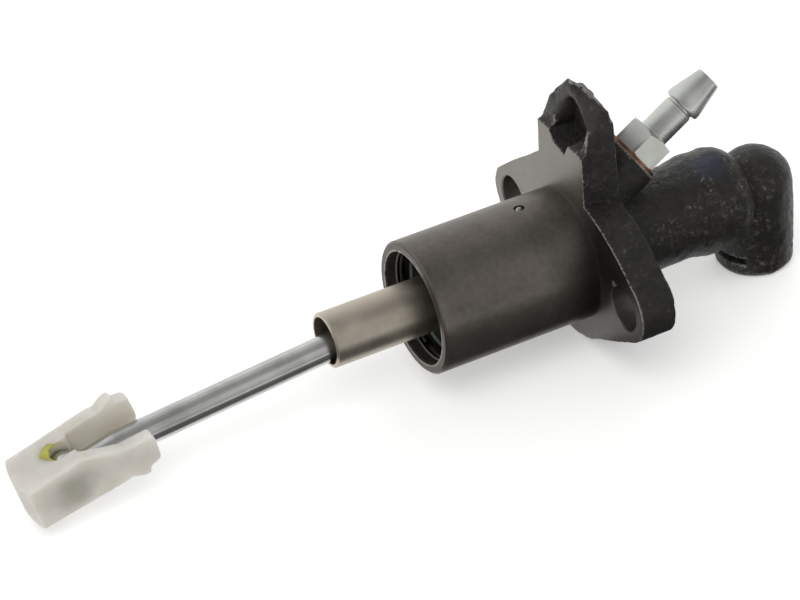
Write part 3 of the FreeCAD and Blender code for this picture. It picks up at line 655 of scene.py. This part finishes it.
def studio():
    """A white room that gloss sees bright behind the object and dim overhead and at the viewer's side.

    Two soft windows add to it: a wide one up on the left and a narrower one up at the viewer's side.
    """
    world = bpy.data.worlds.new("studio")
    bpy.context.scene.world = world
    world.use_nodes = True
    tree = world.node_tree
    tree.nodes.clear()
    path = add(tree, "LightPath").outputs
    direction = add(tree, "TexCoord").outputs["Generated"]
    depth = add(tree, "SeparateXYZ", {0: direction}).outputs["Y"]
    place = add(tree, "MapRange", {"Value": depth, "From Min": -1.0}).outputs[0]
    stops = ((0.0, "#8c8c8c"), (0.2, "#a6a6a6"), (0.5, "#a0a0a0"), (0.75, "#d8d8d8"), (0.92, "#ffffff"))
    room = add(tree, "ValToRGB", {0: place}, stops=stops).outputs[0]
    for aim, reach, level in (((-0.55, 0.45, 0.70), 0.72, 0.85), ((0.34, -0.79, 0.51), 0.82, 0.55)):
        near = add(tree, "VectorMath", {0: direction, 1: aim}, operation="DOT_PRODUCT").outputs["Value"]
        inputs = {"Value": near, "From Min": reach, "To Max": level}
        near = add(tree, "MapRange", inputs, interpolation_type="SMOOTHSTEP").outputs[0]
        inputs = {0: near, 6: room, 7: linear("#ffffff")}
        room = add(tree, "Mix", inputs, data_type="RGBA").outputs[2]
    inputs = {0: path["Is Glossy Ray"], 6: linear("#b8b8b8"), 7: room}
    lit = add(tree, "Mix", inputs, data_type="RGBA").outputs[2]
    inputs = {0: path["Is Camera Ray"], 1: path["Is Transmission Ray"]}
    seen = add(tree, "Math", inputs, operation="MAXIMUM").outputs[0]
    colour = add(tree, "Mix", {0: seen, 6: lit, 7: linear("#ffffff")}, data_type="RGBA").outputs[2]
    backdrop = add(tree, "Background", {"Color": colour, "Strength": 1.0})
    add(tree, "OutputWorld", {"Surface": backdrop.outputs[0]})


studio()


def softbox(name, place, target, width, height, power):
    """A rectangular area lamp at `place` that faces `target`, in metres and watts."""
    lamp = bpy.data.lights.new(name, "AREA")
    lamp.shape = "RECTANGLE"
    lamp.size = width
    lamp.size_y = height
    lamp.energy = power
    thing = bpy.data.objects.new(name, lamp)
    back = np.array(place, float) - np.array(target, float)
    back /= np.linalg.norm(back)
    right = np.cross([0.0, 0.0, 1.0], back)
    right /= np.linalg.norm(right)
    up = np.cross(back, right)
    thing.matrix_world = Matrix([[right[i], up[i], back[i], place[i]] for i in range(3)] + [[0, 0, 0, 1]])
    bpy.context.scene.collection.objects.link(thing)
    thing.visible_glossy = False


middle = (-0.05, 0.0, 0.0)
softbox("key", (-0.45, -0.55, 1.0), middle, 1.1, 0.9, 7.0)
softbox("rim", (0.6, 0.75, 0.6), middle, 0.8, 0.5, 3.0)


def floor_painted_shade():
    """A dark sheet on the floor that only gloss sees: painted shade of the floor in front, so that bright
    metal shows a dark band low down.
    """
    material, tree, shader, place = blank("floor_painted_shade")
    shade = add(tree, "TexNoise", {"Vector": place, "Scale": 2.0})
    tone = add(tree, "MapRange", {"Value": shade.outputs[0], "To Min": 0.09, "To Max": 0.12})
    tree.links.new(tone.outputs[0], shader.inputs["Base Color"])
    height = cad_box[0].z - 0.0001
    mesh = bpy.data.meshes.new("floor_painted_shade")
    left, right, near, far = -0.3, 0.2, -0.14, -0.012
    mesh.from_pydata([(left, near, height), (right, near, height), (right, far, height), (left, far, height)],
                     [], [(0, 1, 2, 3)])
    mesh.materials.append(material)
    thing = bpy.data.objects.new("floor_painted_shade", mesh)
    bpy.context.scene.collection.objects.link(thing)
    for ray in ("camera", "diffuse", "transmission", "volume_scatter", "shadow"):
        setattr(thing, "visible_" + ray, False)


floor_painted_shade()

camera = bpy.data.cameras.new("camera")
camera.lens = 162.615
camera.sensor_width = 36.0
camera.clip_start = 0.05
camera.clip_end = 50.0
viewer = bpy.data.objects.new("camera", camera)
viewer.matrix_world = Matrix([[0.88289, 0.32474, -0.33918, -0.40095], [-0.46545, 0.50976, -0.72353, -0.73952],
                              [-0.06206, 0.79667, 0.60121, 0.61909], [0, 0, 0, 1]])
bpy.context.scene.collection.objects.link(viewer)
bpy.context.scene.camera = viewer
bpy.context.scene.view_settings.view_transform = "Standard"

bpy.context.view_layer.update()
